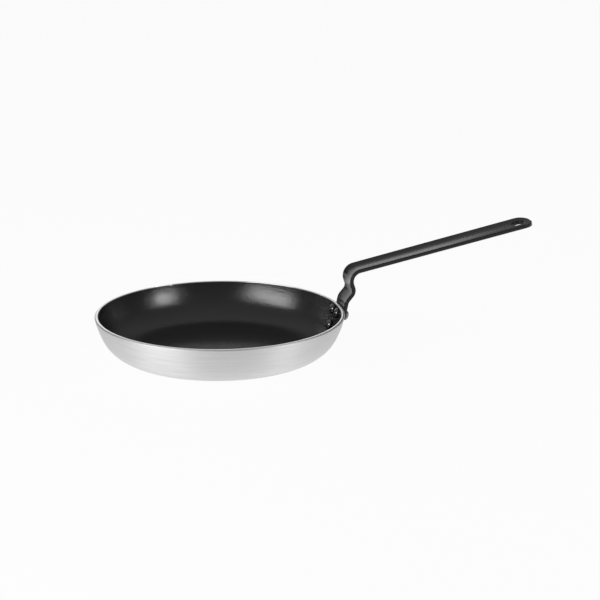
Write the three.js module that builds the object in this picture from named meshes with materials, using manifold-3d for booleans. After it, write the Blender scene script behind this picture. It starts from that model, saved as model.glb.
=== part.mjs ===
// Frying pan: a pressed aluminium pan with a non-stick lining and a bent steel strip handle on three rivets.
// Millimetres, +Z up. The origin is the middle of the base's underside and the handle runs along +X.

import * as THREE from 'three';
import { mergeVertices } from 'three/addons/utils/BufferGeometryUtils.js';
import Module from 'manifold-3d';

// Pan, measured on its outer face
const RIM_DIAMETER = 240;
const PAN_HEIGHT = 40;
const RIM_LEAN = 14; // degrees from upright, where the wall meets the rim's outer round
const WALL_RADIUS = 95; // sweep of the upper wall
const CORNER_RADIUS = 35; // sweep from the wall into the flat base
const WALL_THICKNESS = 3.2;
const RIM_OUTER_ROUND = 1.3;
const RIM_INNER_ROUND = 0.4;

// Non-stick lining
const LINING_THICKNESS = 0.3;
const LINING_EDGE_DROP = 0.3; // bare wall left between the rim's inner round and the lining

// Rivets
const SHANK_DIAMETER = 5;
const HEAD_DIAMETER = 9.6; // domed head inside the pan
const HEAD_HEIGHT = 3.2;
const TAIL_DIAMETER = 9.6; // closed end outside the handle's tab
const TAIL_HEIGHT = 3.6;
const HEAD_LIP = 0.5; // straight edge under each dome
const RIVET_SPACING = 16; // between the two upper rivets
const RIM_TO_RIVETS = 5.8; // down the wall, from the rim's round to the upper rivets
const RIVET_ROW_PITCH = 15; // down the wall from the upper rivets to the lower one
const SHANK_CLEARANCE = 0.3; // round each shank
const SEAT_GAP = 0.3; // between pieces that lie on each other

// Handle strip, with bend radii on the face that lies on the wall and becomes the top of the grip
const STRIP_THICKNESS = 3.8;
const STRIP_EDGE_ROUND = 0.9;
const TAB_EDGE = 1.4; // strip left round an upper rivet's tail
const TAB_END_RADIUS = 9.5; // round the lower rivet
const NECK_WIDTH = 27.9;
const TIP_WIDTH = 30.8;
const TIP_LENGTH = 12; // rounded stretch at the end of the grip
const TIP_FULLNESS = 2.1; // 2 is an ellipse, more is squarer
const RISE_ABOVE_RIM = 5.1; // strip follows the wall's sweep this far past the wall's end
const RIM_BEND_RADIUS = 11.1;
const NECK_OUT_LEAN = 41.6; // degrees from upright, away from the pan
const NECK_OUT_LENGTH = 5.25;
const NECK_BEND_RADIUS = 6.8;
const NECK_IN_LEAN = 17.1; // degrees from upright, back towards the pan
const NECK_IN_LENGTH = 3.25;
const TOP_BEND_RADIUS = 11.15;
const GRIP_RISE = 11.67; // degrees above level
const GRIP_LENGTH = 182.2; // straight stretch, with the rounded tip
const GRIP_DISH_RADIUS = 55; // hollow across the top of the grip, at its start
const TIP_DISH_RADIUS = 90; // the same at its end
const HANG_HOLE_DIAMETER = 12.5;
const HANG_HOLE_CHAMFER = 0.9;
const HANG_HOLE_INSET = 13.4; // hole's middle from the end of the tip

// Facets
const PAN_STEPS = 64; // round the pan
const CORNER_STEPS = 7;
const WALL_STEPS = 4;
const ROUND_STEPS = 3; // small edge rounds
const RIVET_STEPS = 16; // round a rivet
const DOME_STEPS = 4;
const HOLE_STEPS = 24;
const FACE_STEPS = 6; // across the strip
const TAB_STEPS = 16;
const OUTLINE_STEPS = 40; // along the tab's flanks
const BEND_STEPS = 8;
const GRIP_STEPS = 10;
const TIP_STEPS = 24;

const aluminium = new THREE.MeshStandardMaterial({ color: 0xc4c5c7, metalness: 1, roughness: 0.34 });
const nonstick = new THREE.MeshStandardMaterial({ color: 0x242425, metalness: 0, roughness: 0.42 });
const epoxy = new THREE.MeshStandardMaterial({ color: 0x1b1b1c, metalness: 0, roughness: 0.45 });
const rivetMetal = new THREE.MeshStandardMaterial({ color: 0x6f7072, metalness: 1, roughness: 0.4 });

const { degToRad, lerp, smoothstep } = THREE.MathUtils;
const LATHE_AXIS = new THREE.Vector3(0, 1, 0);
const quarterTurn = Math.PI / 2;
const wasm = await Module();
wasm.setup();

// Outer profile of the pan: the wall's arc hangs from the rim's outer round and leads into the corner's arc.
// Each arc is tangent to the next. A place on one is given by its lean, the face's angle from upright there.
const rimLean = degToRad(RIM_LEAN);
const baseLean = quarterTurn;
const rimCentre = new THREE.Vector2(RIM_DIAMETER / 2 - RIM_OUTER_ROUND, PAN_HEIGHT - RIM_OUTER_ROUND);
const wallCentre = arcPoint(rimCentre, RIM_OUTER_ROUND - WALL_RADIUS, rimLean);
const centreDistance = WALL_RADIUS - CORNER_RADIUS;
const centreDrop = wallCentre.y - CORNER_RADIUS;
const baseRadius = wallCentre.x + Math.sqrt(centreDistance ** 2 - centreDrop ** 2);
const cornerCentre = new THREE.Vector2(baseRadius, CORNER_RADIUS);
const cornerLean = Math.asin(centreDrop / centreDistance);
const wallLength = WALL_RADIUS * (cornerLean - rimLean);

function arcPoint(centre, radius, lean) {
  return new THREE.Vector2(centre.x + radius * Math.cos(lean), centre.y - radius * Math.sin(lean));
}

function arcPoints(centre, radius, leanFrom, leanTo, steps) {
  const points = [];
  for (let i = 0; i <= steps; i++) points.push(arcPoint(centre, radius, lerp(leanFrom, leanTo, i / steps)));
  return points;
}

// Profile of the face that lies a depth inside the outer one, from the pan's middle up to a lean of the wall
function panFace(depth, topLean) {
  return [
    new THREE.Vector2(0, depth),
    ...arcPoints(cornerCentre, CORNER_RADIUS - depth, baseLean, cornerLean, CORNER_STEPS),
    ...arcPoints(wallCentre, WALL_RADIUS - depth, cornerLean, topLean, WALL_STEPS).slice(1),
  ];
}

// The same up to a height
function panFaceTo(depth, height) {
  return panFace(depth, Math.asin((wallCentre.y - height) / (WALL_RADIUS - depth)));
}

// Rounded edge of a profile, with angles counted from level
function edgeRound(x, y, radius, angleFrom, angleTo) {
  const points = [];
  for (let i = 0; i <= ROUND_STEPS; i++) {
    const angle = lerp(angleFrom, angleTo, i / ROUND_STEPS);
    points.push(new THREE.Vector2(x + radius * Math.cos(angle), y + radius * Math.sin(angle)));
  }
  return points;
}

function revolve(profile) {
  return new THREE.LatheGeometry(profile, PAN_STEPS).rotateX(quarterTurn);
}

// Closed solid from a geometry, with shared vertices merged and collapsed triangles dropped
function toSolid(geometry) {
  const bare = geometry.clone();
  bare.deleteAttribute('normal');
  bare.deleteAttribute('uv');
  const merged = mergeVertices(bare);
  const index = merged.index.array;
  const kept = [];
  for (let i = 0; i < index.length; i += 3) {
    const [a, b, c] = index.slice(i, i + 3);
    if (a !== b && b !== c && c !== a) kept.push(a, b, c);
  }
  const vertProperties = merged.attributes.position.array;
  const triVerts = new Uint32Array(kept);
  return new wasm.Manifold(new wasm.Mesh({ numProp: 3, vertProperties, triVerts }));
}

function cut(geometry, cutters) {
  let solid = toSolid(geometry);
  for (const cutter of cutters) solid = solid.subtract(toSolid(cutter));
  const { vertProperties, triVerts } = solid.getMesh();
  const result = new THREE.BufferGeometry();
  result.setAttribute('position', new THREE.BufferAttribute(vertProperties, 3));
  result.setIndex(new THREE.BufferAttribute(triVerts, 1));
  result.computeVertexNormals();
  return result;
}

function piece(name, geometry, material) {
  const mesh = new THREE.Mesh(geometry, material);
  mesh.name = name;
  return mesh;
}

// Place on the outer wall, at a distance down it from the rim's round
function onWall(down) {
  if (down <= wallLength) {
    const lean = rimLean + down / WALL_RADIUS;
    return { point: arcPoint(wallCentre, WALL_RADIUS, lean), lean, sweep: WALL_RADIUS };
  }
  const lean = cornerLean + (down - wallLength) / CORNER_RADIUS;
  return { point: arcPoint(cornerCentre, CORNER_RADIUS, lean), lean, sweep: CORNER_RADIUS };
}

// A rivet stands square to the wall: its local +Y points outwards, and its origin is on the wall's outer face
function rivetPlace(down, sideways) {
  const { point, lean } = onWall(down);
  const turn = Math.asin(sideways / point.x);
  const outward = new THREE.Vector3(Math.cos(lean), 0, -Math.sin(lean));
  outward.applyAxisAngle(new THREE.Vector3(0, 0, 1), turn);
  const place = new THREE.Object3D();
  place.position.set(point.x * Math.cos(turn), sideways, point.y);
  place.quaternion.setFromUnitVectors(LATHE_AXIS, outward);
  place.updateMatrix();
  return place;
}

const lowerRivetDown = RIM_TO_RIVETS + RIVET_ROW_PITCH;
const rivets = {
  rivet_upper_left: { down: RIM_TO_RIVETS, sideways: RIVET_SPACING / 2 },
  rivet_upper_right: { down: RIM_TO_RIVETS, sideways: -RIVET_SPACING / 2 },
  rivet_lower: { down: lowerRivetDown, sideways: 0 },
};
const tailSeat = SEAT_GAP + STRIP_THICKNESS + SEAT_GAP;

// A head is flat underneath, so it stands off the hollow lining until its edge is clear
function headSeat(down) {
  const radius = HEAD_DIAMETER / 2;
  const lining = WALL_THICKNESS + LINING_THICKNESS;
  const hollow = onWall(down + radius).sweep - lining;
  return -(lining + SEAT_GAP + radius ** 2 / (2 * hollow));
}

// Domed end of a rivet, from its edge to the axis: a short straight lip and a quarter of an ellipse
function domeProfile(seat, diameter, height, towards) {
  const radius = diameter / 2;
  const rise = height - HEAD_LIP;
  const points = [new THREE.Vector2(radius, seat)];
  for (let i = 0; i <= DOME_STEPS; i++) {
    const angle = quarterTurn * (1 - i / DOME_STEPS);
    const up = HEAD_LIP + rise * Math.cos(angle);
    points.push(new THREE.Vector2(radius * Math.sin(angle), seat + towards * up));
  }
  return points;
}

function rivet(name, { down, sideways }) {
  const shank = SHANK_DIAMETER / 2;
  const seat = headSeat(down);
  const profile = [
    ...domeProfile(seat, HEAD_DIAMETER, HEAD_HEIGHT, -1).reverse(),
    new THREE.Vector2(shank, seat),
    new THREE.Vector2(shank, tailSeat),
    ...domeProfile(tailSeat, TAIL_DIAMETER, TAIL_HEIGHT, 1),
  ];
  const mesh = piece(name, new THREE.LatheGeometry(profile, RIVET_STEPS), rivetMetal);
  const place = rivetPlace(down, sideways);
  mesh.position.copy(place.position);
  mesh.quaternion.copy(place.quaternion);
  return mesh;
}

// One straight drill at each rivet, through the wall, the lining and the handle's tab
function rivetDrills() {
  const radius = SHANK_DIAMETER / 2 + SHANK_CLEARANCE;
  return Object.values(rivets).map(({ down, sideways }) => {
    const length = 2 * (tailSeat - headSeat(down));
    const drill = new THREE.CylinderGeometry(radius, radius, length, RIVET_STEPS);
    return drill.applyMatrix4(rivetPlace(down, sideways).matrix);
  });
}

const liningHeight = PAN_HEIGHT - RIM_INNER_ROUND - LINING_EDGE_DROP;

function panBody() {
  const outer = panFace(0, rimLean);
  const inner = panFaceTo(WALL_THICKNESS, liningHeight).reverse();
  const innerEdge = panFaceTo(WALL_THICKNESS, PAN_HEIGHT - RIM_INNER_ROUND).at(-1);
  const rim = [
    ...edgeRound(rimCentre.x, rimCentre.y, RIM_OUTER_ROUND, 0, quarterTurn),
    ...edgeRound(innerEdge.x + RIM_INNER_ROUND, innerEdge.y, RIM_INNER_ROUND, quarterTurn, 2 * quarterTurn),
  ];
  return piece('pan_body', cut(revolve([...outer, ...rim, ...inner]), rivetDrills()), aluminium);
}

function nonstickLining() {
  const bonded = panFaceTo(WALL_THICKNESS, liningHeight);
  const cooking = panFaceTo(WALL_THICKNESS + LINING_THICKNESS, liningHeight).reverse();
  return piece('nonstick_lining', cut(revolve([...bonded, ...cooking]), rivetDrills()), nonstick);
}

// Stations along the strip's pan-side face, in the XZ plane from the tab's end to the tip.
// Each has its point, its lean from upright and its run, the length of strip before it.
const tabLength = lowerRivetDown + TAB_END_RADIUS;

function seatStation(run) {
  const { point, lean } = onWall(tabLength - run);
  return { x: point.x + SEAT_GAP * Math.cos(lean), z: point.y - SEAT_GAP * Math.sin(lean), lean, run };
}

function bendTo(stations, radius, leanTo) {
  const start = stations.at(-1);
  const side = Math.sign(leanTo - start.lean);
  const centreX = start.x + side * radius * Math.cos(start.lean);
  const centreZ = start.z - side * radius * Math.sin(start.lean);
  for (let i = 1; i <= BEND_STEPS; i++) {
    const lean = lerp(start.lean, leanTo, i / BEND_STEPS);
    const x = centreX - side * radius * Math.cos(lean);
    const z = centreZ + side * radius * Math.sin(lean);
    stations.push({ x, z, lean, run: start.run + radius * Math.abs(lean - start.lean) });
  }
}

function alongStraight(start, distance) {
  const x = start.x + distance * Math.sin(start.lean);
  const z = start.z + distance * Math.cos(start.lean);
  return { x, z, lean: start.lean, run: start.run + distance };
}

// The bent line, and the runs where the neck, the grip and the tip's end come
function stripLine() {
  const stations = [];
  const seatLength = tabLength + RISE_ABOVE_RIM;
  for (let i = 1; i <= TAB_STEPS; i++) {
    stations.push(seatStation(seatLength * (1 - Math.cos((quarterTurn * i) / TAB_STEPS))));
  }
  bendTo(stations, RIM_BEND_RADIUS, degToRad(NECK_OUT_LEAN));
  stations.push(alongStraight(stations.at(-1), NECK_OUT_LENGTH));
  const neckRun = stations.at(-1).run;
  bendTo(stations, NECK_BEND_RADIUS, degToRad(-NECK_IN_LEAN));
  stations.push(alongStraight(stations.at(-1), NECK_IN_LENGTH));
  bendTo(stations, TOP_BEND_RADIUS, degToRad(90 - GRIP_RISE));
  const gripStart = stations.at(-1);
  const straight = GRIP_LENGTH - TIP_LENGTH;
  for (let i = 1; i <= GRIP_STEPS; i++) {
    stations.push(alongStraight(gripStart, (straight * i) / GRIP_STEPS));
  }
  for (let i = 1; i < TIP_STEPS; i++) {
    stations.push(alongStraight(gripStart, straight + TIP_LENGTH * Math.sin((quarterTurn * i) / TIP_STEPS)));
  }
  return { stations, neckRun, gripStart, endRun: gripStart.run + GRIP_LENGTH };
}

// Half width of the tab: an outline stretched round a disc at the lower rivet and one at each upper rivet
const upperDiscRadius = TAIL_DIAMETER / 2 + TAB_EDGE;
const upperRivetRun = TAB_END_RADIUS + RIVET_ROW_PITCH;

function tabHalfWidth(run) {
  let half = 0;
  for (let i = 0; i <= OUTLINE_STEPS; i++) {
    const share = i / OUTLINE_STEPS;
    const radius = lerp(TAB_END_RADIUS, upperDiscRadius, share);
    const off = run - lerp(TAB_END_RADIUS, upperRivetRun, share);
    const sideways = (RIVET_SPACING / 2) * share;
    if (Math.abs(off) < radius) half = Math.max(half, sideways + Math.sqrt(radius ** 2 - off ** 2));
  }
  return half;
}

function halfWidth(run, { neckRun, gripStart, endRun }) {
  if (run < upperRivetRun) return tabHalfWidth(run);
  const neckHalf = NECK_WIDTH / 2;
  if (run < gripStart.run) {
    const tabHalf = RIVET_SPACING / 2 + upperDiscRadius;
    return lerp(tabHalf, neckHalf, smoothstep(run, upperRivetRun, neckRun));
  }
  const gripHalf = lerp(neckHalf, TIP_WIDTH / 2, (run - gripStart.run) / GRIP_LENGTH);
  const intoTip = Math.max(0, 1 - (endRun - run) / TIP_LENGTH);
  return gripHalf * (1 - intoTip ** TIP_FULLNESS) ** (1 / TIP_FULLNESS);
}

// Crosswise curvature: the tab wraps the pan, and the neck leads to the grip's dish, flatter at the tip
function crossCurvature({ x, lean, run }, { gripStart }) {
  const wrap = Math.cos(lean) / x;
  if (run <= tabLength) return wrap;
  const dish = 1 / GRIP_DISH_RADIUS;
  if (run > gripStart.run) return lerp(dish, 1 / TIP_DISH_RADIUS, (run - gripStart.run) / GRIP_LENGTH);
  const rimWrap = Math.cos(rimLean) / onWall(0).point.x;
  return lerp(rimWrap, dish, smoothstep(run, tabLength, gripStart.run));
}

// Flat section of the strip: sideways places and depths from the pan-side face, with rounded edges
function stripSection(half) {
  const round = Math.min(STRIP_EDGE_ROUND, half / 2);
  const reach = half - round;
  const deep = STRIP_THICKNESS - round;
  const ring = [];
  const addFace = (from, depth) => {
    for (let i = 1; i < FACE_STEPS; i++) {
      ring.push(new THREE.Vector2(lerp(from, -from, i / FACE_STEPS), depth));
    }
  };
  ring.push(...edgeRound(reach, deep, round, 0, quarterTurn));
  addFace(reach, STRIP_THICKNESS);
  ring.push(...edgeRound(-reach, deep, round, quarterTurn, 2 * quarterTurn));
  ring.push(...edgeRound(-reach, round, round, 2 * quarterTurn, 3 * quarterTurn));
  addFace(-reach, 0);
  ring.push(...edgeRound(reach, round, round, 3 * quarterTurn, 4 * quarterTurn));
  return ring;
}

// Skin over rings of equally many points, closed by a fan at each end
function loft(rings) {
  const count = rings[0].length;
  const positions = rings.flat().flatMap((point) => point.toArray());
  const index = [];
  for (let r = 0; r + 1 < rings.length; r++) {
    for (let i = 0; i < count; i++) {
      const a = r * count + i;
      const b = r * count + ((i + 1) % count);
      index.push(a, a + count, b, b, a + count, b + count);
    }
  }
  const lastRing = (rings.length - 1) * count;
  for (let i = 1; i + 1 < count; i++) {
    index.push(0, i, i + 1, lastRing, lastRing + i + 1, lastRing + i);
  }
  const geometry = new THREE.BufferGeometry();
  geometry.setAttribute('position', new THREE.Float32BufferAttribute(positions, 3));
  geometry.setIndex(index);
  return geometry;
}

// Chamfered punch for the hanging hole, standing square to the grip with its top face at local height 0
function hangHolePunch(gripStart) {
  const radius = HANG_HOLE_DIAMETER / 2;
  const over = STRIP_THICKNESS;
  const wide = radius + HANG_HOLE_CHAMFER + over;
  const profile = [
    new THREE.Vector2(0, -STRIP_THICKNESS - over),
    new THREE.Vector2(wide, -STRIP_THICKNESS - over),
    new THREE.Vector2(radius, -STRIP_THICKNESS + HANG_HOLE_CHAMFER),
    new THREE.Vector2(radius, -HANG_HOLE_CHAMFER),
    new THREE.Vector2(wide, over),
    new THREE.Vector2(0, over),
  ];
  const { x, z, lean } = alongStraight(gripStart, GRIP_LENGTH - HANG_HOLE_INSET);
  const place = new THREE.Object3D();
  place.position.set(x, 0, z);
  place.quaternion.setFromUnitVectors(LATHE_AXIS, new THREE.Vector3(-Math.cos(lean), 0, Math.sin(lean)));
  place.updateMatrix();
  return new THREE.LatheGeometry(profile, HOLE_STEPS).applyMatrix4(place.matrix);
}

function handle() {
  const line = stripLine();
  const rings = line.stations.map((station) => {
    const { x, z, lean, run } = station;
    const curvature = crossCurvature(station, line);
    return stripSection(halfWidth(run, line)).map((spot) => {
      const depth = spot.y - (curvature * spot.x ** 2) / 2;
      return new THREE.Vector3(x + depth * Math.cos(lean), spot.x, z - depth * Math.sin(lean));
    });
  });
  return piece('handle', cut(loft(rings), [...rivetDrills(), hangHolePunch(line.gripStart)]), epoxy);
}

const fryingPan = new THREE.Group();
fryingPan.name = 'frying_pan';
fryingPan.add(panBody(), nonstickLining(), handle());
for (const [name, spot] of Object.entries(rivets)) fryingPan.add(rivet(name, spot));

export default fryingPan;
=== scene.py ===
"""Frying pan: turned aluminium body, non-stick lining and a bent, coated strip handle on three rivets."""

import math
from collections import namedtuple

import bmesh
import bpy
from mathutils import Matrix, Vector

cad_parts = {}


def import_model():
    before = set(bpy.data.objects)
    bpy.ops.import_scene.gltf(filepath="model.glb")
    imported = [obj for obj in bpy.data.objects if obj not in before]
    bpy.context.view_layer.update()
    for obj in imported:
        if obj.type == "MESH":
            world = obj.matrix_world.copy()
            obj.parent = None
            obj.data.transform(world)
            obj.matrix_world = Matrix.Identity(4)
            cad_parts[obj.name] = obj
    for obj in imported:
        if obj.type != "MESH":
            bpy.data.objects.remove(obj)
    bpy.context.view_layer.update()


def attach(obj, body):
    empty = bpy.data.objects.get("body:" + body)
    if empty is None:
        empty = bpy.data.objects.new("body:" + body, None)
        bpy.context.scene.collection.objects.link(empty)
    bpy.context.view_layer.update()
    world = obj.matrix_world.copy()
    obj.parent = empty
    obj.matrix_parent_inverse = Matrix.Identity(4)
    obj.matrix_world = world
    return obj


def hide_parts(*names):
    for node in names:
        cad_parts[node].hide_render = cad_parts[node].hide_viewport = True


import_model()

MM = 0.001
QUARTER = math.pi / 2

# Pan, in millimetres, on its outer face
RIM_RADIUS = 120
PAN_HEIGHT = 40
RIM_LEAN = math.radians(14)
WALL_RADIUS = 95
CORNER_RADIUS = 35
WALL_THICKNESS = 3.2
RIM_OUTER_ROUND = 1.3
RIM_INNER_ROUND = 0.4
LINING_THICKNESS = 0.3
LINING_EDGE_DROP = 0.3
LINING_EDGE_ROUND = 0.12

# Rivets
SHANK_RADIUS = 2.5
SHANK_CLEARANCE = 0.3
HEAD_RADIUS = 4.8
HEAD_HEIGHT = 3.2
TAIL_RADIUS = 4.8
TAIL_HEIGHT = 3.6
HEAD_LIP = 0.5
LIP_BEVEL = 0.3
RIVET_SPACING = 16
RIM_TO_RIVETS = 5.8
RIVET_ROW_PITCH = 15
SEAT_GAP = 0.3

# Handle strip
STRIP_THICKNESS = 3.8
STRIP_EDGE_ROUND = 0.9
TAB_EDGE = 1.4
TAB_END_RADIUS = 9.5
NECK_WIDTH = 27.9
TIP_WIDTH = 30.8
TIP_LENGTH = 12
TIP_FULLNESS = 2.1
RISE_ABOVE_RIM = 5.1
RIM_BEND_RADIUS = 11.1
NECK_OUT_LEAN = math.radians(41.6)
NECK_OUT_LENGTH = 5.25
NECK_BEND_RADIUS = 6.8
NECK_IN_LEAN = math.radians(17.1)
NECK_IN_LENGTH = 3.25
TOP_BEND_RADIUS = 11.15
GRIP_RISE = math.radians(11.67)
GRIP_LENGTH = 182.2
GRIP_DISH_RADIUS = 55
TIP_DISH_RADIUS = 90
HANG_HOLE_RADIUS = 6.25
HANG_HOLE_ROUND = 0.9
HANG_HOLE_INSET = 13.4

# Angles on the strip's two round ends at which the first and last rings lie, so that these have a width
TAB_START = QUARTER / 16
TIP_END = QUARTER * 23 / 24

# Fineness of the meshes
PAN_STEPS = 288
CORNER_STEPS = 28
WALL_STEPS = 16
ROUND_STEPS = 6
RIVET_STEPS = 48
DOME_STEPS = 12
HOLE_STEPS = 64
FACE_STEPS = 20
TAB_STEPS = 36
OUTLINE_STEPS = 80
BEND_STEPS = 24
GRIP_STEPS = 60
TIP_STEPS = 30
SHARP_ANGLE = math.radians(32)
MERGE_DISTANCE = 1e-7

# Turning marks: rings, and streaks that are long because a turn sweeps little of their noise
RING_SCALE = 1100.0
RING_DETAIL = 4.0
RING_BREAKUP = 0.7
STREAK_SCALE = 420.0
STREAK_DETAIL = 3.0
STREAK_BREAKUP = 0.6
STREAK_SWEEP = 0.006

# Bare aluminium: greys from dark to light, and roughness from smooth to rough
RING_SHARE = 0.4
STREAK_SHARE = 0.6
MARKS_RANGE = (0.36, 0.64)
ALUMINIUM_GREYS = ((0.70, 0.70, 0.705), (0.79, 0.79, 0.795))
ALUMINIUM_ROUGHNESS = (0.50, 0.58)
RING_BUMP_DEPTH = 0.00003
RING_BUMP_STRENGTH = 0.12
BRUSHING = 0.8
BRUSHING_TURN = 0.25

# Rim, in lighter and darker greys than the wall: its land and its outer round, told apart by the lean of
# their faces from level
LAND_EDGE = math.radians(20)
ROUND_EDGE = math.radians(80)
# The land's light grey is partly its smooth cut finish and partly painted highlight
LAND_LIT_GREYS = ((0.90, 0.90, 0.90), (0.96, 0.96, 0.96))
LAND_ROUGHNESS = (0.18, 0.28)
# The round's dark grey is painted shade
ROUND_SHADED_GREYS = ((0.52, 0.52, 0.52), (0.62, 0.62, 0.62))
ROUND_ROUGHNESS = (0.45, 0.55)

# Grained finishes: a fine noise, by its scale per metre and by its bump's depth in metres and strength
Grain = namedtuple("Grain", "scale depth strength")
GRAIN_DETAIL = 3.0
GRAIN_BREAKUP = 0.5
NONSTICK_GREYS = ((0.0065, 0.0065, 0.0067), (0.0105, 0.0105, 0.0107))
NONSTICK_ROUGHNESS = (0.18, 0.26)
NONSTICK_GRAIN = Grain(scale=540.0, depth=0.00024, strength=0.9)
NONSTICK_IOR = 1.56
WORN_ROUGHNESS = (0.08, 0.14)
WORN_GRAIN = NONSTICK_GRAIN._replace(strength=0.2)
WORN_IOR = 2.0
EPOXY_GREYS = ((0.005, 0.005, 0.0051), (0.009, 0.009, 0.0091))
EPOXY_ROUGHNESS = (0.13, 0.25)
EPOXY_GRAIN = Grain(scale=760.0, depth=0.0002, strength=0.35)
EPOXY_IOR = 1.36
RIVET_GREYS = ((0.15, 0.15, 0.152), (0.24, 0.24, 0.243))
RIVET_ROUGHNESS = (0.30, 0.40)
RIVET_GRAIN = Grain(scale=900.0, depth=0.0001, strength=0.2)

# Stage, in metres: white paper, and the light of the room
FLOOR_HALF_WIDTH = 5.0
FLOOR_FRONT = -4.0
FLOOR_BACK = 3.0
BACKDROP_LEFT = -1.35
BACKDROP_RIGHT = 0.98
BACKDROP_HEIGHT = 1.3
BACKDROP_BEND = 0.4
BACKDROP_STEPS = 12
PAPER_WHITE = 0.9
PAPER_GLOW = 0.94
WALL_LIGHT = 0.13
CEILING_LIGHT = 0.43

# Lamps, in metres and watts, at an azimuth from +X and an elevation from level
LAMP_DISTANCE = 1.6
LEFT_AZIMUTH = math.radians(-158.5)
LEFT_ELEVATION = math.radians(26.0)
LEFT_SIZE = (1.3, 0.36)
LEFT_POWER = 14.2
RIGHT_AZIMUTH = math.radians(-42)
RIGHT_ELEVATION = math.radians(24.2)
RIGHT_SIZE = (0.48, 0.06)
RIGHT_POWER = 5.6

# Picture: the rim's middle in the photograph's frame, and the camera that sees it there
IMAGE_SIDE = 600
RIM_MIDDLE_PIXEL = (219.95, 313.23)
FOCAL_PIXELS = 2074.73
SENSOR_WIDTH = 36
CAMERA_DISTANCE = 1.99503
CAMERA_REACH = 100
CAMERA_HEADING = math.radians(12.3)
CAMERA_HEIGHT_ANGLE = math.radians(16.2068)


def lerp(a, b, share):
    return a + (b - a) * share


def smoothstep(x, low, high):
    t = min(1, max(0, (x - low) / (high - low)))
    return t * t * (3 - 2 * t)


# Meshes

def mesh_object(name, points, faces):
    mesh = bpy.data.meshes.new(name)
    mesh.from_pydata([Vector(p) * MM for p in points], [], faces)
    tidy_mesh(mesh)
    piece = bpy.data.objects.new(name, mesh)
    bpy.context.scene.collection.objects.link(piece)
    return piece


def tidy_mesh(mesh):
    shape = bmesh.new()
    shape.from_mesh(mesh)
    bmesh.ops.remove_doubles(shape, verts=shape.verts, dist=MERGE_DISTANCE)
    bmesh.ops.dissolve_degenerate(shape, edges=shape.edges, dist=MERGE_DISTANCE)
    bmesh.ops.recalc_face_normals(shape, faces=shape.faces)
    shape.to_mesh(mesh)
    shape.free()
    mesh.shade_smooth()
    mesh.set_sharp_from_angle(angle=SHARP_ANGLE)


def lathe(name, profile, steps):
    """Solid turned about Z from a profile of (radius, height) that closes on itself or on the axis."""
    points, faces = [], []
    for step in range(steps):
        turn = 2 * math.pi * step / steps
        points += [(r * math.cos(turn), r * math.sin(turn), z) for r, z in profile]
    count = len(profile)
    for step in range(steps):
        here, there = step * count, (step + 1) % steps * count
        for i in range(count):
            j = (i + 1) % count
            faces.append((here + i, there + i, there + j, here + j))
    return mesh_object(name, points, faces)


def loft(name, rings):
    """Skin over rings of equally many points, closed at each end."""
    count = len(rings[0])
    points = [p for ring in rings for p in ring]
    faces = []
    for r in range(len(rings) - 1):
        for i in range(count):
            j = (i + 1) % count
            a, b = r * count, (r + 1) * count
            faces.append((a + i, b + i, b + j, a + j))
    last = (len(rings) - 1) * count
    faces.append(tuple(range(count)))
    faces.append(tuple(last + i for i in reversed(range(count))))
    return mesh_object(name, points, faces)


def cut(piece, cutters):
    """Takes the cutters out of a piece and deletes them."""
    for cutter in cutters:
        modifier = piece.modifiers.new("cut", "BOOLEAN")
        modifier.operation = "DIFFERENCE"
        modifier.solver = "EXACT"
        modifier.object = cutter
    graph = bpy.context.evaluated_depsgraph_get()
    mesh = bpy.data.meshes.new_from_object(piece.evaluated_get(graph))
    piece.modifiers.clear()
    piece.data = mesh
    mesh.name = piece.name
    tidy_mesh(mesh)
    for cutter in cutters:
        bpy.data.objects.remove(cutter)


def arc(centre, radius, start, end, steps):
    """Points on an arc, with angles counted from level."""
    angles = [lerp(start, end, i / steps) for i in range(steps + 1)]
    return [(centre[0] + radius * math.cos(a), centre[1] + radius * math.sin(a)) for a in angles]


def stand(spot, up):
    """Matrix that puts a turned piece on a spot in millimetres, with its Z along a direction."""
    return Matrix.Translation(Vector(spot) * MM) @ up.to_track_quat("Z", "X").to_matrix().to_4x4()


# Pan profile: the rim's round, the wall's arc and the corner's arc, each tangent to the next.
# A place on an arc is given by its lean, the face's angle from upright there.

def lean_point(centre, radius, lean):
    return (centre[0] + radius * math.cos(lean), centre[1] - radius * math.sin(lean))


rim_centre = (RIM_RADIUS - RIM_OUTER_ROUND, PAN_HEIGHT - RIM_OUTER_ROUND)
wall_centre = lean_point(rim_centre, RIM_OUTER_ROUND - WALL_RADIUS, RIM_LEAN)
centre_drop = wall_centre[1] - CORNER_RADIUS
centre_distance = WALL_RADIUS - CORNER_RADIUS
base_radius = wall_centre[0] + math.sqrt(centre_distance ** 2 - centre_drop ** 2)
corner_centre = (base_radius, CORNER_RADIUS)
corner_lean = math.asin(centre_drop / centre_distance)
wall_length = WALL_RADIUS * (corner_lean - RIM_LEAN)
lining_height = PAN_HEIGHT - RIM_INNER_ROUND - LINING_EDGE_DROP


def pan_face(depth, top_lean):
    """Profile of the face a depth inside the outer one, from the pan's middle up to a lean of the wall."""
    corner = arc(corner_centre, CORNER_RADIUS - depth, -QUARTER, -corner_lean, CORNER_STEPS)
    wall = arc(wall_centre, WALL_RADIUS - depth, -corner_lean, -top_lean, WALL_STEPS)
    return [(0, depth), *corner, *wall[1:]]


def pan_face_to(depth, height):
    return pan_face(depth, math.asin((wall_centre[1] - height) / (WALL_RADIUS - depth)))


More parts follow.
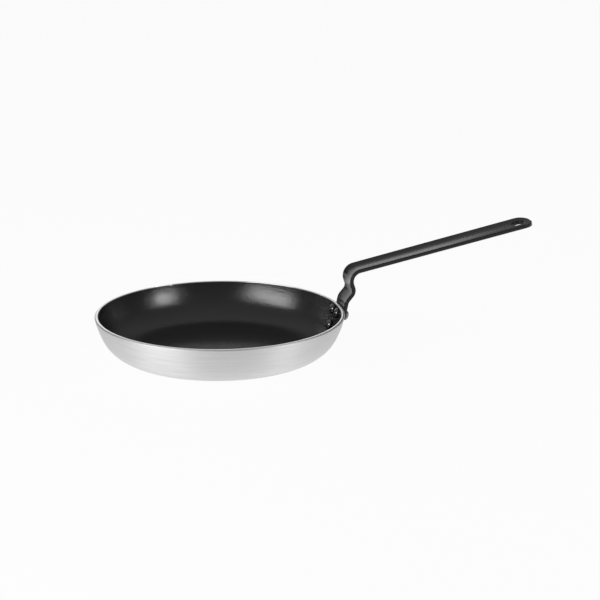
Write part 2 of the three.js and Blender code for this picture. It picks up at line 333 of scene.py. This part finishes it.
def pan_body():
    inner_edge = pan_face_to(WALL_THICKNESS, PAN_HEIGHT - RIM_INNER_ROUND)[-1]
    inner_centre = (inner_edge[0] + RIM_INNER_ROUND, inner_edge[1])
    profile = [
        *pan_face(0, RIM_LEAN),
        *arc(rim_centre, RIM_OUTER_ROUND, -RIM_LEAN, QUARTER, 2 * ROUND_STEPS)[1:],
        *arc(inner_centre, RIM_INNER_ROUND, QUARTER, 2 * QUARTER, ROUND_STEPS),
        *reversed(pan_face_to(WALL_THICKNESS, lining_height)),
    ]
    piece = lathe("pan_shell", profile, PAN_STEPS)
    cut(piece, rivet_drills())
    return piece


def nonstick_lining():
    bonded = pan_face_to(WALL_THICKNESS, lining_height)
    cooking = pan_face_to(WALL_THICKNESS + LINING_THICKNESS, lining_height - LINING_EDGE_ROUND)
    edge = (cooking[-1][0] + LINING_EDGE_ROUND, cooking[-1][1])
    round_edge = arc(edge, LINING_EDGE_ROUND, QUARTER, 2 * QUARTER, ROUND_STEPS)
    piece = lathe("nonstick_coating", [*bonded, *round_edge[:-1], *reversed(cooking)], PAN_STEPS)
    cut(piece, rivet_drills())
    return piece


# Rivets, each square to the wall with its local Z outwards and its origin on the wall's outer face.
# A place on the wall has its lean there and the sweep, the radius of the arc that it lies on.
WallPlace = namedtuple("WallPlace", "x z lean sweep")


def on_wall(down):
    """Place on the outer wall, at a distance down it from the rim's round."""
    if down <= wall_length:
        lean = RIM_LEAN + down / WALL_RADIUS
        return WallPlace(*lean_point(wall_centre, WALL_RADIUS, lean), lean, WALL_RADIUS)
    lean = corner_lean + (down - wall_length) / CORNER_RADIUS
    return WallPlace(*lean_point(corner_centre, CORNER_RADIUS, lean), lean, CORNER_RADIUS)


lower_rivet_down = RIM_TO_RIVETS + RIVET_ROW_PITCH
rivets = {
    "rivet_upper_left": (RIM_TO_RIVETS, RIVET_SPACING / 2),
    "rivet_upper_right": (RIM_TO_RIVETS, -RIVET_SPACING / 2),
    "rivet_lower": (lower_rivet_down, 0),
}
tail_seat = SEAT_GAP + STRIP_THICKNESS + SEAT_GAP


def rivet_place(down, sideways):
    wall = on_wall(down)
    turn = math.asin(sideways / wall.x)
    flat = math.cos(wall.lean)
    outward = Vector((flat * math.cos(turn), flat * math.sin(turn), -math.sin(wall.lean)))
    return stand((wall.x * math.cos(turn), sideways, wall.z), outward)


def head_seat(down):
    """Depth of a head's flat underside, off the hollow lining until the head's edge is clear."""
    lining = WALL_THICKNESS + LINING_THICKNESS
    hollow = on_wall(down + HEAD_RADIUS).sweep - lining
    return -(lining + SEAT_GAP + HEAD_RADIUS ** 2 / (2 * hollow))


def dome(seat, radius, height, towards):
    """Domed end from its seat to the axis: a bevel, a short straight lip and a quarter of an ellipse."""
    rise = height - HEAD_LIP
    points = [(radius - LIP_BEVEL, seat), (radius, seat + towards * LIP_BEVEL)]
    for i in range(DOME_STEPS + 1):
        angle = QUARTER * (1 - i / DOME_STEPS)
        points.append((radius * math.sin(angle), seat + towards * (HEAD_LIP + rise * math.cos(angle))))
    return points


def rivet(name, down, sideways):
    seat = head_seat(down)
    profile = [
        *reversed(dome(seat, HEAD_RADIUS, HEAD_HEIGHT, -1)),
        (SHANK_RADIUS, seat),
        (SHANK_RADIUS, tail_seat),
        *dome(tail_seat, TAIL_RADIUS, TAIL_HEIGHT, 1),
    ]
    piece = lathe(name + "_solid", profile, RIVET_STEPS)
    piece.data.transform(rivet_place(down, sideways))
    return piece


def rivet_drills():
    """One straight drill at each rivet, through the wall, the lining and the handle's tab."""
    drills = []
    for down, sideways in rivets.values():
        radius = SHANK_RADIUS + SHANK_CLEARANCE
        reach = tail_seat - head_seat(down)
        drill = lathe("drill", [(0, -reach), (radius, -reach), (radius, reach), (0, reach)], RIVET_STEPS)
        drill.data.transform(rivet_place(down, sideways))
        drills.append(drill)
    return drills


# Handle: stations on the strip's pan-side face, each with its lean from upright and the run before it
Station = namedtuple("Station", "x z lean run")
tab_length = lower_rivet_down + TAB_END_RADIUS
upper_disc_radius = TAIL_RADIUS + TAB_EDGE
upper_rivet_run = TAB_END_RADIUS + RIVET_ROW_PITCH


def seat_station(run):
    """Station on the tab, which follows the wall with a gap between them."""
    wall = on_wall(tab_length - run)
    x = wall.x + SEAT_GAP * math.cos(wall.lean)
    z = wall.z - SEAT_GAP * math.sin(wall.lean)
    return Station(x, z, wall.lean, run)


def bend_to(stations, radius, lean_to):
    """Adds the stations of a bend from the last one's lean to another."""
    x, z, start, run = stations[-1]
    side = math.copysign(1, lean_to - start)
    centre_x = x + side * radius * math.cos(start)
    centre_z = z - side * radius * math.sin(start)
    for i in range(1, BEND_STEPS + 1):
        lean = lerp(start, lean_to, i / BEND_STEPS)
        stations.append(Station(
            centre_x - side * radius * math.cos(lean),
            centre_z + side * radius * math.sin(lean),
            lean,
            run + radius * abs(lean - start),
        ))


def along_straight(start, distance):
    x, z, lean, run = start
    return Station(x + distance * math.sin(lean), z + distance * math.cos(lean), lean, run + distance)


def strip_line():
    """Stations of the bent line, the run that reaches the neck's width, and the grip's first station."""
    seat_length = tab_length + RISE_ABOVE_RIM
    angles = [lerp(TAB_START, QUARTER, i / TAB_STEPS) for i in range(TAB_STEPS + 1)]
    stations = [seat_station(seat_length * (1 - math.cos(a))) for a in angles]
    bend_to(stations, RIM_BEND_RADIUS, NECK_OUT_LEAN)
    stations.append(along_straight(stations[-1], NECK_OUT_LENGTH))
    neck_run = stations[-1].run
    bend_to(stations, NECK_BEND_RADIUS, -NECK_IN_LEAN)
    stations.append(along_straight(stations[-1], NECK_IN_LENGTH))
    bend_to(stations, TOP_BEND_RADIUS, QUARTER - GRIP_RISE)
    grip_start = stations[-1]
    straight = GRIP_LENGTH - TIP_LENGTH
    for i in range(1, GRIP_STEPS + 1):
        stations.append(along_straight(grip_start, straight * i / GRIP_STEPS))
    for i in range(1, TIP_STEPS + 1):
        into_tip = TIP_LENGTH * math.sin(TIP_END * i / TIP_STEPS)
        stations.append(along_straight(grip_start, straight + into_tip))
    return stations, neck_run, grip_start


def tab_half_width(run):
    """Outline stretched round a disc at the lower rivet and one at each upper rivet."""
    half = 0
    for i in range(OUTLINE_STEPS + 1):
        share = i / OUTLINE_STEPS
        radius = lerp(TAB_END_RADIUS, upper_disc_radius, share)
        off = run - lerp(TAB_END_RADIUS, upper_rivet_run, share)
        if abs(off) < radius:
            half = max(half, RIVET_SPACING / 2 * share + math.sqrt(radius ** 2 - off ** 2))
    return half


def half_width(run, neck_run, grip_run):
    if run < upper_rivet_run:
        return tab_half_width(run)
    if run < grip_run:
        tab_half = RIVET_SPACING / 2 + upper_disc_radius
        return lerp(tab_half, NECK_WIDTH / 2, smoothstep(run, upper_rivet_run, neck_run))
    along = run - grip_run
    grip_half = lerp(NECK_WIDTH, TIP_WIDTH, along / GRIP_LENGTH) / 2
    into_tip = max(0, 1 - (GRIP_LENGTH - along) / TIP_LENGTH)
    return grip_half * (1 - into_tip ** TIP_FULLNESS) ** (1 / TIP_FULLNESS)


def cross_curvature(station, grip_run):
    """The tab wraps the pan, and the neck passes that on to the grip's dish, flatter at the tip."""
    if station.run <= tab_length:
        return math.cos(station.lean) / station.x
    dish = 1 / GRIP_DISH_RADIUS
    if station.run > grip_run:
        return lerp(dish, 1 / TIP_DISH_RADIUS, (station.run - grip_run) / GRIP_LENGTH)
    rim_wrap = math.cos(RIM_LEAN) / on_wall(0).x
    return lerp(rim_wrap, dish, smoothstep(station.run, tab_length, grip_run))


def strip_section(half, thinning):
    """Flat section as (sideways, depth from the pan-side face), round-edged, with each face set back."""
    edge = min(STRIP_EDGE_ROUND, half / 2)
    reach = half - edge
    top, bottom = thinning, STRIP_THICKNESS - thinning
    edge = min(edge, (bottom - top) / 2)
    inner = [lerp(reach, -reach, i / FACE_STEPS) for i in range(1, FACE_STEPS)]
    return [
        *arc((reach, bottom - edge), edge, 0, QUARTER, ROUND_STEPS),
        *[(y, bottom) for y in inner],
        *arc((-reach, bottom - edge), edge, QUARTER, 2 * QUARTER, ROUND_STEPS),
        *arc((-reach, top + edge), edge, 2 * QUARTER, 3 * QUARTER, ROUND_STEPS),
        *[(y, top) for y in reversed(inner)],
        *arc((reach, top + edge), edge, 3 * QUARTER, 4 * QUARTER, ROUND_STEPS),
    ]


def end_thinning(distance):
    """How far each face is rounded back at a distance from the strip's end."""
    into_round = max(0, STRIP_EDGE_ROUND - distance)
    return STRIP_EDGE_ROUND - math.sqrt(STRIP_EDGE_ROUND ** 2 - into_round ** 2)


def dished_ring(station, section, curvature):
    """Section set square to the strip at a station and bent across its width."""
    ring = []
    for sideways, depth in section:
        dished = depth - curvature * sideways ** 2 / 2
        x = station.x + dished * math.cos(station.lean)
        z = station.z - dished * math.sin(station.lean)
        ring.append((x, sideways, z))
    return ring


def hang_hole_punch(grip_start):
    """Punch with rounded lips, square to the grip."""
    bottom = -STRIP_THICKNESS
    over = STRIP_THICKNESS
    lip = HANG_HOLE_RADIUS + HANG_HOLE_ROUND
    low = arc((lip, bottom + HANG_HOLE_ROUND), HANG_HOLE_ROUND, 3 * QUARTER, 2 * QUARTER, ROUND_STEPS)
    high = arc((lip, -HANG_HOLE_ROUND), HANG_HOLE_ROUND, 2 * QUARTER, QUARTER, ROUND_STEPS)
    profile = [(0, bottom - over), (lip, bottom - over), *low, *high, (lip, over), (0, over)]
    punch = lathe("punch", profile, HOLE_STEPS)
    middle = along_straight(grip_start, GRIP_LENGTH - HANG_HOLE_INSET)
    up = Vector((-math.cos(middle.lean), 0, math.sin(middle.lean)))
    punch.data.transform(stand((middle.x, 0, middle.z), up))
    return punch


def handle():
    stations, neck_run, grip_start = strip_line()
    first_run = stations[0].run
    last_run = stations[-1].run
    rings = []
    for station in stations:
        to_end = min(station.run - first_run, last_run - station.run)
        half = half_width(station.run, neck_run, grip_start.run)
        section = strip_section(half, end_thinning(to_end))
        rings.append(dished_ring(station, section, cross_curvature(station, grip_start.run)))
    piece = loft("strip_handle", rings)
    cut(piece, [*rivet_drills(), hang_hole_punch(grip_start)])
    return piece


# Material nodes. A mix node has sockets for each type of data, and these are the ones for colour.
MIX_COLOUR_A = 6
MIX_COLOUR_B = 7
MIX_COLOUR_RESULT = 2


def add(tree, kind, inputs=None, **settings):
    """New node with its settings, and inputs that are values or other nodes' outputs."""
    node = tree.nodes.new("ShaderNode" + kind)
    for name, value in settings.items():
        setattr(node, name, value)
    for name, value in (inputs or {}).items():
        if isinstance(value, bpy.types.NodeSocket):
            tree.links.new(value, node.inputs[name])
        else:
            node.inputs[name].default_value = value
    return node


def new_material(name):
    material = bpy.data.materials.new(name)
    material.use_nodes = True
    return material, material.node_tree, material.node_tree.nodes["Principled BSDF"]


def math_node(tree, operation, a, b=0.0):
    return add(tree, "Math", {0: a, 1: b}, operation=operation).outputs[0]


def stretch(tree, value, low, high):
    """Spreads a noise's middle range over 0 to 1."""
    return add(tree, "MapRange", {"Value": value, "From Min": low, "From Max": high}).outputs[0]


def remap(tree, value, low, high):
    """Spreads 0 to 1 over a range."""
    return add(tree, "MapRange", {"Value": value, "To Min": low, "To Max": high}).outputs[0]


def noise(tree, dimensions, scale, detail, breakup, **place):
    values = {"Scale": scale, "Detail": detail, "Roughness": breakup, **place}
    return add(tree, "TexNoise", values, noise_dimensions=dimensions).outputs[0]


def grey_ramp(tree, value, dark, light):
    values = {"Factor": value, MIX_COLOUR_A: (*dark, 1), MIX_COLOUR_B: (*light, 1)}
    return add(tree, "Mix", values, data_type="RGBA").outputs[MIX_COLOUR_RESULT]


# Materials

def turning_marks(tree):
    """Fine rings and longer broken streaks round the Z axis, as two values from 0 to 1."""
    place = add(tree, "TexCoord").outputs["Object"]
    x, y, z = add(tree, "SeparateXYZ", {"Vector": place}).outputs
    square = math_node(tree, "ADD", math_node(tree, "MULTIPLY", x, x), math_node(tree, "MULTIPLY", y, y))
    along = math_node(tree, "ADD", math_node(tree, "SQRT", square), z)
    sweep = math_node(tree, "MULTIPLY", math_node(tree, "ARCTAN2", y, x), STREAK_SWEEP)
    swept = add(tree, "CombineXYZ", {"X": sweep, "Y": along}).outputs[0]
    rings = noise(tree, "1D", RING_SCALE, RING_DETAIL, RING_BREAKUP, W=along)
    streaks = noise(tree, "2D", STREAK_SCALE, STREAK_DETAIL, STREAK_BREAKUP, Vector=swept)
    return rings, streaks


def turned_aluminium():
    material, tree, shader = new_material("turned_aluminium")
    rings, streaks = turning_marks(tree)
    ring_part = math_node(tree, "MULTIPLY", rings, RING_SHARE)
    streak_part = math_node(tree, "MULTIPLY", streaks, STREAK_SHARE)
    marks = stretch(tree, math_node(tree, "ADD", ring_part, streak_part), *MARKS_RANGE)
    relief = {"Strength": RING_BUMP_STRENGTH, "Distance": RING_BUMP_DEPTH, "Height": rings}
    bump = add(tree, "Bump", relief)
    tangent = add(tree, "Tangent", direction_type="RADIAL", axis="Z")
    tree.links.new(grey_ramp(tree, marks, *ALUMINIUM_GREYS), shader.inputs["Base Color"])
    tree.links.new(remap(tree, marks, *ALUMINIUM_ROUGHNESS), shader.inputs["Roughness"])
    tree.links.new(bump.outputs[0], shader.inputs["Normal"])
    tree.links.new(tangent.outputs[0], shader.inputs["Tangent"])
    shader.inputs["Metallic"].default_value = 1
    shader.inputs["Anisotropic"].default_value = BRUSHING
    shader.inputs["Anisotropic Rotation"].default_value = BRUSHING_TURN
    return material


def bare_rim(name, greys, roughness):
    material, tree, shader = new_material(name)
    rings, streaks = turning_marks(tree)
    tree.links.new(grey_ramp(tree, streaks, *greys), shader.inputs["Base Color"])
    tree.links.new(remap(tree, rings, *roughness), shader.inputs["Roughness"])
    shader.inputs["Metallic"].default_value = 1
    return material


def grained(name, greys, roughness, grain):
    """Material whose height, shade and gloss follow one fine noise, as on a sprayed coat."""
    material, tree, shader = new_material(name)
    place = add(tree, "TexCoord").outputs["Object"]
    height = noise(tree, "3D", grain.scale, GRAIN_DETAIL, GRAIN_BREAKUP, Vector=place)
    bump = add(tree, "Bump", {"Strength": grain.strength, "Distance": grain.depth, "Height": height})
    tree.links.new(grey_ramp(tree, height, *greys), shader.inputs["Base Color"])
    tree.links.new(remap(tree, height, *roughness), shader.inputs["Roughness"])
    tree.links.new(bump.outputs[0], shader.inputs["Normal"])
    return material, shader


def nonstick_coat(name, roughness, grain, ior):
    material, shader = grained(name, NONSTICK_GREYS, roughness, grain)
    shader.inputs["IOR"].default_value = ior
    return material


def epoxy_coat():
    material, shader = grained("black_epoxy", EPOXY_GREYS, EPOXY_ROUGHNESS, EPOXY_GRAIN)
    shader.inputs["IOR"].default_value = EPOXY_IOR
    return material


def rivet_metal():
    material, shader = grained("rivet_metal", RIVET_GREYS, RIVET_ROUGHNESS, RIVET_GRAIN)
    shader.inputs["Metallic"].default_value = 1
    return material


def seen_white(tree):
    """1 for the rays that show the background: the camera's, and those in metal and glass."""
    path = add(tree, "LightPath").outputs
    sharp = math_node(tree, "MAXIMUM", path["Is Glossy Ray"], path["Is Transmission Ray"])
    return math_node(tree, "MAXIMUM", path["Is Camera Ray"], sharp)


def white_paper():
    material, tree, shader = new_material("white_paper")
    shader.inputs["Base Color"].default_value = (PAPER_WHITE, PAPER_WHITE, PAPER_WHITE, 1)
    shader.inputs["Roughness"].default_value = 1
    shader.inputs["Specular IOR Level"].default_value = 0
    glow = add(tree, "Emission", {"Strength": 1.0})
    share = math_node(tree, "MULTIPLY", seen_white(tree), PAPER_GLOW)
    mixed = add(tree, "MixShader", {0: share, 1: shader.outputs[0], 2: glow.outputs[0]})
    tree.links.new(mixed.outputs[0], tree.nodes["Material Output"].inputs["Surface"])
    return material


# Stage

def paper_sheet(name, left, right, profile, paper):
    """Sheet of paper along X, over a profile of (y, z) in metres."""
    points = [(x, y, z) for y, z in profile for x in (left, right)]
    faces = [(i, i + 1, i + 3, i + 2) for i in range(0, len(points) - 2, 2)]
    mesh = bpy.data.meshes.new(name)
    mesh.from_pydata(points, [], faces)
    mesh.shade_smooth()
    mesh.materials.append(paper)
    piece = bpy.data.objects.new(name, mesh)
    bpy.context.scene.collection.objects.link(piece)


def floor_and_backdrop():
    """White paper on the floor, and a low sheet of it that turns up behind the pan."""
    paper = white_paper()
    paper_sheet("floor", -FLOOR_HALF_WIDTH, FLOOR_HALF_WIDTH, [(FLOOR_FRONT, 0), (FLOOR_BACK, 0)], paper)
    bend = arc((FLOOR_BACK - BACKDROP_BEND, BACKDROP_BEND), BACKDROP_BEND, -QUARTER, 0, BACKDROP_STEPS)
    paper_sheet("backdrop", BACKDROP_LEFT, BACKDROP_RIGHT, [*bend, (FLOOR_BACK, BACKDROP_HEIGHT)], paper)


def world():
    """Dim studio with a lighter ceiling."""
    scene_world = bpy.data.worlds.new("studio")
    scene_world.use_nodes = True
    tree = scene_world.node_tree
    direction = add(tree, "TexCoord").outputs["Generated"]
    height = add(tree, "SeparateXYZ", {"Vector": direction}).outputs["Z"]
    background = tree.nodes["Background"]
    background.inputs["Color"].default_value = (1, 1, 1, 1)
    tree.links.new(remap(tree, height, WALL_LIGHT, CEILING_LIGHT), background.inputs["Strength"])
    bpy.context.scene.world = scene_world


def softbox(name, azimuth, elevation, size, power):
    """Soft lamp that faces the middle of the pan's base."""
    light = bpy.data.lights.new(name, "AREA")
    light.shape = "RECTANGLE"
    light.size, light.size_y = size
    light.energy = power
    lamp = bpy.data.objects.new(name, light)
    flat = math.cos(elevation)
    away = Vector((flat * math.cos(azimuth), flat * math.sin(azimuth), math.sin(elevation)))
    lamp.location = away * LAMP_DISTANCE
    lamp.rotation_euler = away.to_track_quat("Z", "Y").to_euler()
    bpy.context.scene.collection.objects.link(lamp)


def camera():
    """Camera with no roll and no shift, turned until the rim's middle falls on its pixel."""
    rim_middle = Vector((0, 0, PAN_HEIGHT * MM))
    flat = math.cos(CAMERA_HEIGHT_ANGLE)
    away = Vector((
        -flat * math.sin(CAMERA_HEADING),
        -flat * math.cos(CAMERA_HEADING),
        math.sin(CAMERA_HEIGHT_ANGLE),
    ))
    data = bpy.data.cameras.new("camera")
    data.sensor_width = SENSOR_WIDTH
    data.lens = SENSOR_WIDTH * FOCAL_PIXELS / IMAGE_SIDE
    data.clip_end = CAMERA_REACH
    eye = bpy.data.objects.new("camera", data)
    eye.location = rim_middle + away * CAMERA_DISTANCE
    middle = IMAGE_SIDE / 2
    right = (RIM_MIDDLE_PIXEL[0] - middle) / FOCAL_PIXELS
    up = (middle - RIM_MIDDLE_PIXEL[1]) / FOCAL_PIXELS
    length = math.sqrt(right ** 2 + up ** 2 + 1)
    pitch = math.asin(-away.z * length / math.hypot(up, 1)) - math.atan2(up, 1)
    ahead = math.cos(pitch) - up * math.sin(pitch)
    yaw = -CAMERA_HEADING + math.atan2(right, ahead)
    eye.rotation_euler = (QUARTER + pitch, 0, yaw)
    bpy.context.scene.collection.objects.link(eye)
    bpy.context.scene.camera = eye


# Pieces with their finishes

def dress(piece, node, material):
    piece.data.materials.clear()
    piece.data.materials.append(material)
    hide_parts(node)
    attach(piece, "root")


def add_finish(piece, material):
    """Gives a piece one more material, and returns its index for the piece's faces."""
    piece.data.materials.append(material)
    return len(piece.data.materials) - 1


def light_and_shade_rim(piece, land, outer_round):
    """Gives the rim's land a lighter grey, partly painted highlight, and its outer round a darker one,
    painted shade.
    """
    land_index = add_finish(piece, land)
    round_index = add_finish(piece, outer_round)
    land_edge = (rim_centre[0] + RIM_OUTER_ROUND * math.sin(LAND_EDGE)) * MM
    round_low = (rim_centre[1] + RIM_OUTER_ROUND * math.cos(ROUND_EDGE)) * MM
    for face in piece.data.polygons:
        inner = face.center.xy.length < land_edge
        if inner and face.center.z > lining_height * MM:
            face.material_index = land_index
        elif not inner and face.center.z > round_low:
            face.material_index = round_index


def coat_head(piece, down, sideways, coat):
    """Gives a rivet's head the lining's coat, which was sprayed over both and is worn smooth here."""
    coat_index = add_finish(piece, coat)
    to_rivet = rivet_place(down, sideways).inverted()
    for face in piece.data.polygons:
        if (to_rivet @ face.center).z < head_seat(down) * MM:
            face.material_index = coat_index


camera()
world()
softbox("softbox_left", LEFT_AZIMUTH, LEFT_ELEVATION, LEFT_SIZE, LEFT_POWER)
softbox("softbox_right", RIGHT_AZIMUTH, RIGHT_ELEVATION, RIGHT_SIZE, RIGHT_POWER)
floor_and_backdrop()

pan = pan_body()
dress(pan, "pan_body", turned_aluminium())
# Lighter and darker copies of the bare aluminium for the rim: painted highlight on the land, painted shade
# on the round
rim_land_lit = bare_rim("rim_land_lit", LAND_LIT_GREYS, LAND_ROUGHNESS)
rim_round_shaded = bare_rim("rim_round_shaded", ROUND_SHADED_GREYS, ROUND_ROUGHNESS)
light_and_shade_rim(pan, rim_land_lit, rim_round_shaded)

lining_coat = nonstick_coat("nonstick_coat", NONSTICK_ROUGHNESS, NONSTICK_GRAIN, NONSTICK_IOR)
dress(nonstick_lining(), "nonstick_lining", lining_coat)
dress(handle(), "handle", epoxy_coat())

metal = rivet_metal()
worn_coat = nonstick_coat("worn_coat", WORN_ROUGHNESS, WORN_GRAIN, WORN_IOR)
for name, (down, sideways) in rivets.items():
    piece = rivet(name, down, sideways)
    dress(piece, name, metal)
    coat_head(piece, down, sideways, worn_coat)

bpy.context.scene.view_settings.view_transform = "Standard"
